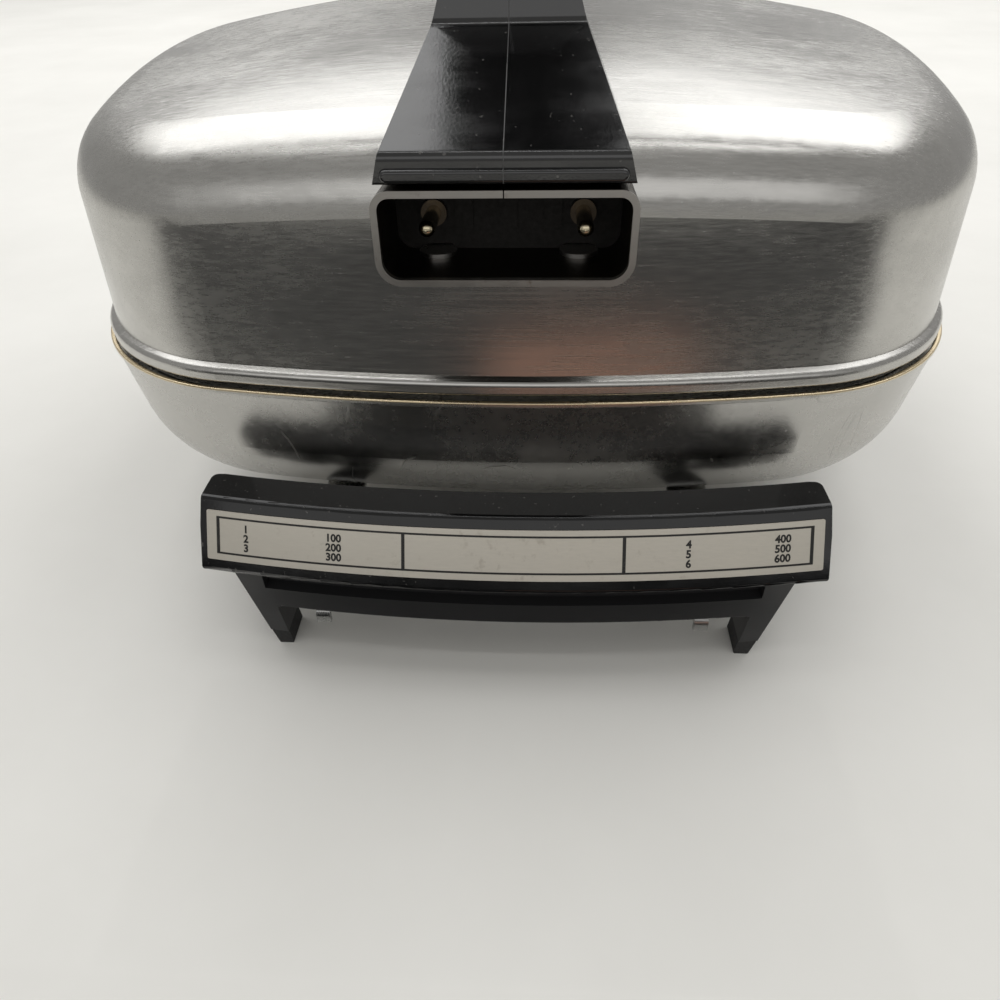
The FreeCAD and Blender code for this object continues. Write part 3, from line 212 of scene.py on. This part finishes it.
def metal(name, colour, rough, stretch=(1, 1, 1), grain=900.0, tint=0.06, spot=0.0,
          spot_colour=(0.2, 0.15, 0.1), scratch=0.0, scratch_stretch=(1, 1, 1), metallic=1.0,
          highlight_above=None, dark_inlets=False):
    """Metal with grain along stretch, soft mottling, scratches and spots of dirt.

    It has a painted golden highlight above a height if one is given, and painted shade inside the
    inlets if asked."""
    mat, tree, shader, make = new_material(name)
    fine = noise(make, place(make, stretch), grain, 3.0, 0.6)
    broad = noise(make, place(make), 22.0, 5.0, 0.6, 0.3)
    shade = blend(make, span(make, broad, 0.3, 0.7, 0.0, 1.0), darker(colour, 1 - 2 * tint), colour)
    shade = blend(make, span(make, fine, 0.35, 0.75, 0.35, 0.0), shade, darker(colour, 0.8))
    if spot:
        dirt = noise(make, place(make), 260.0, 5.0, 0.7)
        patch = noise(make, place(make), 35.0, 3.0, 0.6)
        both = maths(make, "MULTIPLY", span(make, dirt, 0.56, 0.68, 0, 1),
                     span(make, patch, 0.45, 0.6, 0, 1))
        shade = blend(make, maths(make, "MULTIPLY", both, spot), shade, spot_colour)
    # Painted highlight: golden colour above a height, standing in for the bright rim line
    if highlight_above is not None:
        high = make("ShaderNodeSeparateXYZ", {"Vector": place(make)}).outputs["Z"]
        shade = blend(make, span(make, high, highlight_above, highlight_above + RIM_HIGHLIGHT_RAMP, 0.0, 1.0),
                      shade, RIM_HIGHLIGHT_TINT)
    # Painted shade: dark colour inside the inlets, where shade falls
    if dark_inlets:
        axes = make("ShaderNodeSeparateXYZ", {"Vector": place(make)}).outputs
        in_lid = maths(make, "MULTIPLY", span(make, axes["Y"], *LID_INLET_MOUTH_Y, 0.0, 1.0),
                       span(make, axes["Z"], *LID_INLET_Z, 0.0, 1.0))
        in_base = maths(make, "MULTIPLY", span(make, axes["X"], *BASE_INLET_MOUTH_X, 1.0, 0.0),
                        span(make, axes["Y"], *BASE_INLET_Y, 0.0, 1.0))
        shade = blend(make, maths(make, "MAXIMUM", in_lid, in_base), shade, INLET_PAINTED_SHADE)
    tree.links.new(shade, shader.inputs["Base Color"])
    shader.inputs["Metallic"].default_value = metallic
    level = maths(make, "ADD", span(make, broad, 0.3, 0.7, rough - 0.08, rough + 0.08),
                  span(make, fine, 0.3, 0.7, -0.03, 0.03))
    height = fine
    if scratch:
        lines = scratches(make, scratch_stretch, 34.0, 0.006)
        mask = span(make, noise(make, place(make), 55.0, 2.0), 0.5, 0.62, 0.0, 1.0)
        lines = maths(make, "MULTIPLY", lines, mask)
        level = maths(make, "ADD", level, maths(make, "MULTIPLY", lines, 0.25))
        height = maths(make, "ADD", fine, maths(make, "MULTIPLY", lines, scratch))
    tree.links.new(level, shader.inputs["Roughness"])
    tree.links.new(bump(make, height, 0.05, 0.0004), shader.inputs["Normal"])
    return mat


def brushed_lid(name, colour, rough):
    """Sheet brushed along the lid's front: long horizontal lines on every side."""
    mat, tree, shader, make = new_material(name)
    normal = make("ShaderNodeNewGeometry").outputs["Normal"]
    turned = make("ShaderNodeVectorTransform", {"Vector": normal}, vector_type="NORMAL",
                  convert_from="WORLD", convert_to="OBJECT").outputs["Vector"]
    across = make("ShaderNodeSeparateXYZ", {"Vector": turned}).outputs["X"]
    side = span(make, maths(make, "ABSOLUTE", across), 0.62, 0.78, 0.0, 1.0)

    def lines(along, scale):
        """Noise drawn out along the sheet's brushing, on the front and on the flanks."""
        front = noise(make, place(make, (along, 1.0, 1.0)), scale, 4.0, 0.65)
        flank = noise(make, place(make, (1.0, along, 1.0)), scale, 4.0, 0.65)
        mix = make("ShaderNodeMix", {"Factor": side}, data_type="FLOAT")
        one, two = of_type(mix.inputs, "VALUE")[1:]
        tree.links.new(front, one)
        tree.links.new(flank, two)
        return of_type(mix.outputs, "VALUE")[0]

    hair = lines(0.012, 1500.0)
    band = lines(0.02, 210.0)
    smear = noise(make, place(make, (1.0, 1.0, 1.6)), 16.0, 5.0, 0.6, 0.5)
    shade = blend(make, span(make, hair, 0.3, 0.75, 0.0, 1.0), darker(colour, 0.84), colour)
    shade = blend(make, span(make, band, 0.42, 0.7, 0.0, 0.4), shade, darker(colour, 1.12))
    shade = blend(make, span(make, smear, 0.45, 0.72, 0.0, 0.3), shade, darker(colour, 0.7))
    tree.links.new(shade, shader.inputs["Base Color"])
    shader.inputs["Metallic"].default_value = 1.0
    level = maths(make, "ADD", span(make, smear, 0.35, 0.7, rough - 0.05, rough + 0.07),
                  span(make, hair, 0.3, 0.7, -0.06, 0.06))
    tree.links.new(level, shader.inputs["Roughness"])
    shader.inputs["Anisotropic"].default_value = 0.5
    first = bump(make, hair, 0.03, 0.0003)
    dents = noise(make, place(make), 55.0, 3.0, 0.5)
    tree.links.new(bump(make, dents, 0.03, 0.002, first), shader.inputs["Normal"])
    return mat


def moulding(name, colour, rough, dust=0.25, specular=0.4, matt_below=None):
    """Moulded plastic with fine grain, faint smears and dust; matt below a height if given."""
    mat, tree, shader, make = new_material(name)
    broad = noise(make, place(make), 28.0, 5.0, 0.6, 0.4)
    fine = noise(make, place(make), 1400.0, 3.0, 0.6)
    streak = noise(make, place(make, (0.3, 1.0, 1.0)), 160.0, 3.0, 0.6)
    pale = tuple(c + 0.012 for c in colour)
    shade = blend(make, span(make, broad, 0.42, 0.75, 0.0, 0.5), colour, pale)
    motes = span(make, noise(make, place(make), 620.0, 2.0, 0.5), 0.70, 0.76, 0.0, 1.0)
    shade = blend(make, maths(make, "MULTIPLY", motes, dust), shade, DUST)
    level = maths(make, "ADD", span(make, broad, 0.3, 0.75, rough - 0.04, rough + 0.08),
                  span(make, streak, 0.45, 0.7, 0.0, 0.05))
    if matt_below is not None:
        high = make("ShaderNodeSeparateXYZ", {"Vector": place(make)}).outputs["Z"]
        low_part = span(make, high, matt_below, matt_below + MATT_RAMP, 1.0, 0.0)
        shade = blend(make, low_part, shade, MATT_BLACK)
        level = maths(make, "ADD", level, maths(make, "MULTIPLY", low_part, 0.30))
    tree.links.new(shade, shader.inputs["Base Color"])
    tree.links.new(level, shader.inputs["Roughness"])
    shader.inputs["Specular IOR Level"].default_value = specular
    tree.links.new(bump(make, fine, 0.02, 0.0006), shader.inputs["Normal"])
    return mat


def mineral(name, colour, rough):
    """Matt ceramic or rubber with a grainy surface."""
    mat, tree, shader, make = new_material(name)
    grain = noise(make, place(make), 700.0, 5.0, 0.65)
    broad = noise(make, place(make), 70.0, 4.0, 0.6)
    shade = blend(make, span(make, grain, 0.35, 0.7, 0.0, 0.4), colour, darker(colour, 0.45))
    shade = blend(make, span(make, broad, 0.4, 0.7, 0.0, 0.4), shade, darker(colour, 0.7))
    tree.links.new(shade, shader.inputs["Base Color"])
    level = span(make, grain, 0.3, 0.7, rough - 0.08, rough + 0.08)
    tree.links.new(level, shader.inputs["Roughness"])
    tree.links.new(bump(make, grain, 0.25, 0.0004), shader.inputs["Normal"])
    return mat


def ink(name, colour):
    """Printed ink, a little uneven."""
    mat, tree, shader, make = new_material(name)
    patch = noise(make, place(make), 900.0, 3.0, 0.6)
    pale = tuple(c + 0.06 for c in colour)
    shade = blend(make, span(make, patch, 0.55, 0.75, 0.0, 0.35), colour, pale)
    tree.links.new(shade, shader.inputs["Base Color"])
    shader.inputs["Roughness"].default_value = 0.42
    return mat


LOOKS = {
    "lid_aluminium": brushed_lid("lid_aluminium", (0.56, 0.55, 0.525), 0.25),
    "pan_aluminium": metal("pan_aluminium", (0.62, 0.61, 0.585), 0.27, grain=420.0, tint=0.12,
                           scratch=3.0, scratch_stretch=(1.0, 1.0, 0.5),
                           # Pan's rim top painted as a golden highlight
                           highlight_above=RIM_HIGHLIGHT_Z),
    "inlet_steel": metal("inlet_steel", (0.47, 0.45, 0.42), 0.34, stretch=(0.2, 1, 1), tint=0.15,
                         # Insides of the inlets painted dark as shade
                         spot=0.8, spot_colour=(0.16, 0.11, 0.07), dark_inlets=True),
    "plate_metal": metal("plate_metal", (0.66, 0.62, 0.54), 0.40, stretch=(0.15, 1, 1),
                         grain=1600.0, spot=0.25, metallic=0.5),
    "reflector_metal": metal("reflector_metal", (0.78, 0.78, 0.78), 0.14, tint=0.05),
    "element_sheath": metal("element_sheath", (0.20, 0.19, 0.18), 0.45, tint=0.15),
    "bright_steel": metal("bright_steel", (0.64, 0.64, 0.64), 0.20),
    "bracket_steel": metal("bracket_steel", (0.56, 0.56, 0.55), 0.32, spot=0.3),
    "fastener_steel": metal("fastener_steel", (0.52, 0.52, 0.51), 0.30, spot=0.3),
    "hinge_steel": metal("hinge_steel", (0.66, 0.66, 0.67), 0.16),
    "rivet_metal": metal("rivet_metal", (0.56, 0.55, 0.53), 0.30, spot=0.5),
    "ferrule_metal": metal("ferrule_metal", (0.10, 0.08, 0.06), 0.35, spot=0.4),
    "pin_brass": metal("pin_brass", (0.70, 0.62, 0.44), 0.16, spot=0.5,
                       spot_colour=(0.10, 0.07, 0.04)),
    "insulator": mineral("insulator", (0.010, 0.008, 0.006), 0.75),
    "black_moulding": moulding("black_moulding", (0.004, 0.004, 0.0042), 0.09, specular=0.5,
                               matt_below=MATT_LEGS_Z),
    "gloss_moulding": moulding("gloss_moulding", (0.003, 0.003, 0.0032), 0.10, dust=0.22,
                               specular=0.95),
    "pad_rubber": mineral("pad_rubber", (0.03, 0.03, 0.03), 0.8),
}
INK = ink("plate_ink", (0.012, 0.011, 0.010))
SEAM = moulding("seam_moulding", (0.09, 0.09, 0.09), 0.3, dust=0.6)

for part in frame["record"]["subparts"]:
    nodes[part["node"]].data.materials.clear()
    nodes[part["node"]].data.materials.append(LOOKS[part["material_slot"]])


# Pieces

def to_mesh(name, mesh_data, material, body):
    """A new piece from a bmesh."""
    data = bpy.data.meshes.new(name)
    mesh_data.to_mesh(data)
    mesh_data.free()
    piece = bpy.data.objects.new(name, data)
    bpy.context.scene.collection.objects.link(piece)
    data.materials.append(material)
    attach(piece, body)
    return piece


def plate_point(along, down, out):
    """Point on the plate's face in metres, from millimetres along, down the slope and out of it."""
    slope = PLATE_TOP + down
    proud = PLATE_PROUD + out
    y = -BAR_FRONT - slope * math.sin(FASCIA_TILT) - proud * math.cos(FASCIA_TILT)
    z = BAR_FRONT_TOP - slope * math.cos(FASCIA_TILT) + proud * math.sin(FASCIA_TILT)
    axis_y = BOW_RADIUS - BAR_FRONT
    radius = axis_y - y
    turn = math.asin(along / radius)
    return Vector((radius * math.sin(turn), axis_y - radius * math.cos(turn), z)) * MM


def plate_patch(work, left, right, top, bottom):
    """A thin printed rectangle on the plate, following its bow."""
    steps = max(1, int((right - left) / PRINT_STEP))
    stations = [left + (right - left) * i / steps for i in range(steps + 1)]
    rows = []
    for out in (-PRINT_HALF_THICK, PRINT_HALF_THICK):
        for down in (top, bottom):
            rows.append([work.verts.new(plate_point(along, down, out)) for along in stations])
    inner_top, inner_low, outer_top, outer_low = rows
    for i in range(steps):
        work.faces.new((outer_top[i], outer_top[i + 1], outer_low[i + 1], outer_low[i]))
        work.faces.new((inner_low[i], inner_low[i + 1], inner_top[i + 1], inner_top[i]))
        work.faces.new((inner_top[i], inner_top[i + 1], outer_top[i + 1], outer_top[i]))
        work.faces.new((outer_low[i], outer_low[i + 1], inner_low[i + 1], inner_low[i]))
    for i in (0, steps):
        work.faces.new((inner_top[i], outer_top[i], outer_low[i], inner_low[i]))


def plate_frames():
    """Printed frame lines of the plate's three panels."""
    work = bmesh.new()
    inner_top, inner_low = FRAME_TOP + FRAME_LINE, FRAME_LOW - FRAME_LINE
    plate_patch(work, FRAME_LEFT, FRAME_RIGHT, FRAME_TOP, inner_top)
    plate_patch(work, FRAME_LEFT, FRAME_RIGHT, inner_low, FRAME_LOW)
    for x in (FRAME_LEFT, *INNER_POSTS, FRAME_RIGHT - FRAME_POST):
        plate_patch(work, x, x + FRAME_POST, inner_top, inner_low)
    return to_mesh("plate_frame_lines", work, INK, "base")


def plate_numbers():
    """Plain numbers in the plate's two side panels."""
    work = bmesh.new()
    for left, texts in NUMBER_COLUMNS:
        for row, text in enumerate(texts):
            curve = bpy.data.curves.new("number", "FONT")
            curve.body = text
            curve.size = NUMBER_SIZE
            curve.offset = NUMBER_BOLD
            curve.resolution_u = NUMBER_CURVE_STEPS
            curve.extrude = NUMBER_HALF_THICK
            holder = bpy.data.objects.new("number", curve)
            flat = bpy.data.meshes.new_from_object(holder)
            base_line = FIRST_BASE_LINE + LINE_PITCH * row
            for vertex in flat.vertices:
                x, y, z = vertex.co
                vertex.co = plate_point(left + x, base_line - y, z + NUMBER_HALF_THICK)
            work.from_mesh(flat)
            bpy.data.objects.remove(holder)
            bpy.data.curves.remove(curve)
            bpy.data.meshes.remove(flat)
    return to_mesh("plate_number_print", work, INK, "base")


def mould_line():
    """Thin raised seam of the handle's mould, round its outer edge in the middle plane."""
    work = bmesh.new()
    work.from_mesh(nodes["lid_handle"].data)
    bmesh.ops.bisect_plane(work, geom=work.verts[:] + work.edges[:] + work.faces[:], dist=1e-7,
                           plane_co=(0, 0, 0), plane_no=(1, 0, 0))
    on_plane = [e for e in work.edges if max(abs(v.co.x) for v in e.verts) < 1e-6]
    segments = []
    for edge in on_plane:
        a, b = (v.co.copy() for v in edge.verts)
        middle = (a + b) / 2
        outward = sum((face.normal for face in edge.link_faces), Vector())
        segments.append((a, b, middle, outward))
    work.free()
    seam = bmesh.new()
    crest = SEAM_HALF_WIDTH * SEAM_CREST
    profile = ((-SEAM_HALF_WIDTH, -SEAM_PROUD), (-crest, SEAM_PROUD),
               (crest, SEAM_PROUD), (SEAM_HALF_WIDTH, -SEAM_PROUD))
    for a, b, middle, outward in segments:
        if middle.y > SEAM_BACK_Y or outward.length < 1e-6:
            continue
        outward = outward.normalized()
        faces_front = outward.y < -0.3
        on_slope = outward.z > 0.5 and middle.z > SEAM_SLOPE_Z
        visible = (faces_front or on_slope) and middle.z < SEAM_END_Z
        if not visible or (b - a).length < 1e-7:
            continue
        corners = []
        for end in (a, b):
            for side, lift in profile:
                corners.append(seam.verts.new(end + Vector((side, 0, 0)) + outward * lift))
        for i in range(3):
            seam.faces.new((corners[i], corners[i + 1], corners[i + 5], corners[i + 4]))
        seam.faces.new((corners[3], corners[0], corners[4], corners[7]))
    bmesh.ops.remove_doubles(seam, verts=seam.verts, dist=1e-6)
    return to_mesh("handle_mould_line", seam, SEAM, "lid")


plate_frames()
plate_numbers()
mould_line()


# Stage

def emitter(name, at, aim, wide, long, power):
    """Soft rectangular lamp at a point, aimed at another."""
    lamp = bpy.data.lights.new(name, "AREA")
    lamp.shape = "RECTANGLE"
    lamp.size = wide
    lamp.size_y = long
    lamp.energy = power
    holder = bpy.data.objects.new(name, lamp)
    bpy.context.scene.collection.objects.link(holder)
    holder.location = at
    holder.rotation_mode = "QUATERNION"
    holder.rotation_quaternion = (Vector(aim) - Vector(at)).to_track_quat("-Z", "Y")


def floor():
    """Pale table top."""
    bpy.ops.mesh.primitive_plane_add(size=TABLE_SIZE, location=(0, 0, 0))
    table = bpy.context.object
    table.name = "table"
    mat, tree, shader, make = new_material("table_paint")
    broad = noise(make, place(make), 6.0, 5.0, 0.6)
    fine = noise(make, place(make), 240.0, 4.0, 0.6)
    shade = blend(make, span(make, broad, 0.3, 0.7, 0.0, 1.0),
                  (0.80, 0.79, 0.75), (0.86, 0.85, 0.81))
    tree.links.new(shade, shader.inputs["Base Color"])
    tree.links.new(span(make, fine, 0.3, 0.7, 0.50, 0.62), shader.inputs["Roughness"])
    tree.links.new(bump(make, fine, 0.04, 0.0005), shader.inputs["Normal"])
    table.data.materials.append(mat)


def sky():
    """Plain grey world for light and reflections, pale where the camera sees it."""
    world = bpy.data.worlds.new("studio")
    world.use_nodes = True
    tree = world.node_tree
    around = tree.nodes["Background"]
    around.inputs["Color"].default_value = AROUND_COLOUR
    around.inputs["Strength"].default_value = AROUND_STRENGTH
    behind = tree.nodes.new("ShaderNodeBackground")
    behind.inputs["Color"].default_value = BACKDROP_COLOUR
    light_path = tree.nodes.new("ShaderNodeLightPath")
    mix = tree.nodes.new("ShaderNodeMixShader")
    tree.links.new(light_path.outputs["Is Camera Ray"], mix.inputs[0])
    tree.links.new(around.outputs["Background"], mix.inputs[1])
    tree.links.new(behind.outputs["Background"], mix.inputs[2])
    tree.links.new(mix.outputs["Shader"], tree.nodes["World Output"].inputs["Surface"])
    bpy.context.scene.world = world


def card(name, low, high, colour):
    """Flat card between two opposite corners in metres, which shows only in reflections."""
    x0, y0, z0 = low
    x1, y1, z1 = high
    mesh = bpy.data.meshes.new(name)
    corners = [(x0, y0, z0), (x1, y0, z0), (x1, y1, z1), (x0, y1, z1)]
    mesh.from_pydata(corners, [], [(0, 1, 2, 3)])
    sheet = bpy.data.objects.new(name, mesh)
    bpy.context.scene.collection.objects.link(sheet)
    mat, _, shader, _ = new_material(name + "_paint")
    shader.inputs["Base Color"].default_value = (*colour, 1)
    shader.inputs["Roughness"].default_value = 0.9
    shader.inputs["Specular IOR Level"].default_value = 0.1
    mesh.materials.append(mat)
    sheet.visible_camera = False
    sheet.visible_diffuse = False
    sheet.visible_shadow = False


floor()
sky()
for lamp_values in LAMPS:
    emitter(*lamp_values)
for card_values in CARDS:
    card(*card_values)

camera = bpy.data.objects.new("camera", bpy.data.cameras.new("camera"))
bpy.context.scene.collection.objects.link(camera)
camera.data.sensor_width = CAMERA_SENSOR
camera.data.lens = CAMERA_LENS
camera.data.clip_start = 0.01
camera.matrix_world = Matrix((
    (CAMERA_RIGHT.x, CAMERA_UP.x, -CAMERA_AHEAD.x, CAMERA_AT.x),
    (CAMERA_RIGHT.y, CAMERA_UP.y, -CAMERA_AHEAD.y, CAMERA_AT.y),
    (CAMERA_RIGHT.z, CAMERA_UP.z, -CAMERA_AHEAD.z, CAMERA_AT.z),
    (0, 0, 0, 1)))
bpy.context.scene.camera = camera
bpy.context.scene.view_settings.view_transform = "Standard"
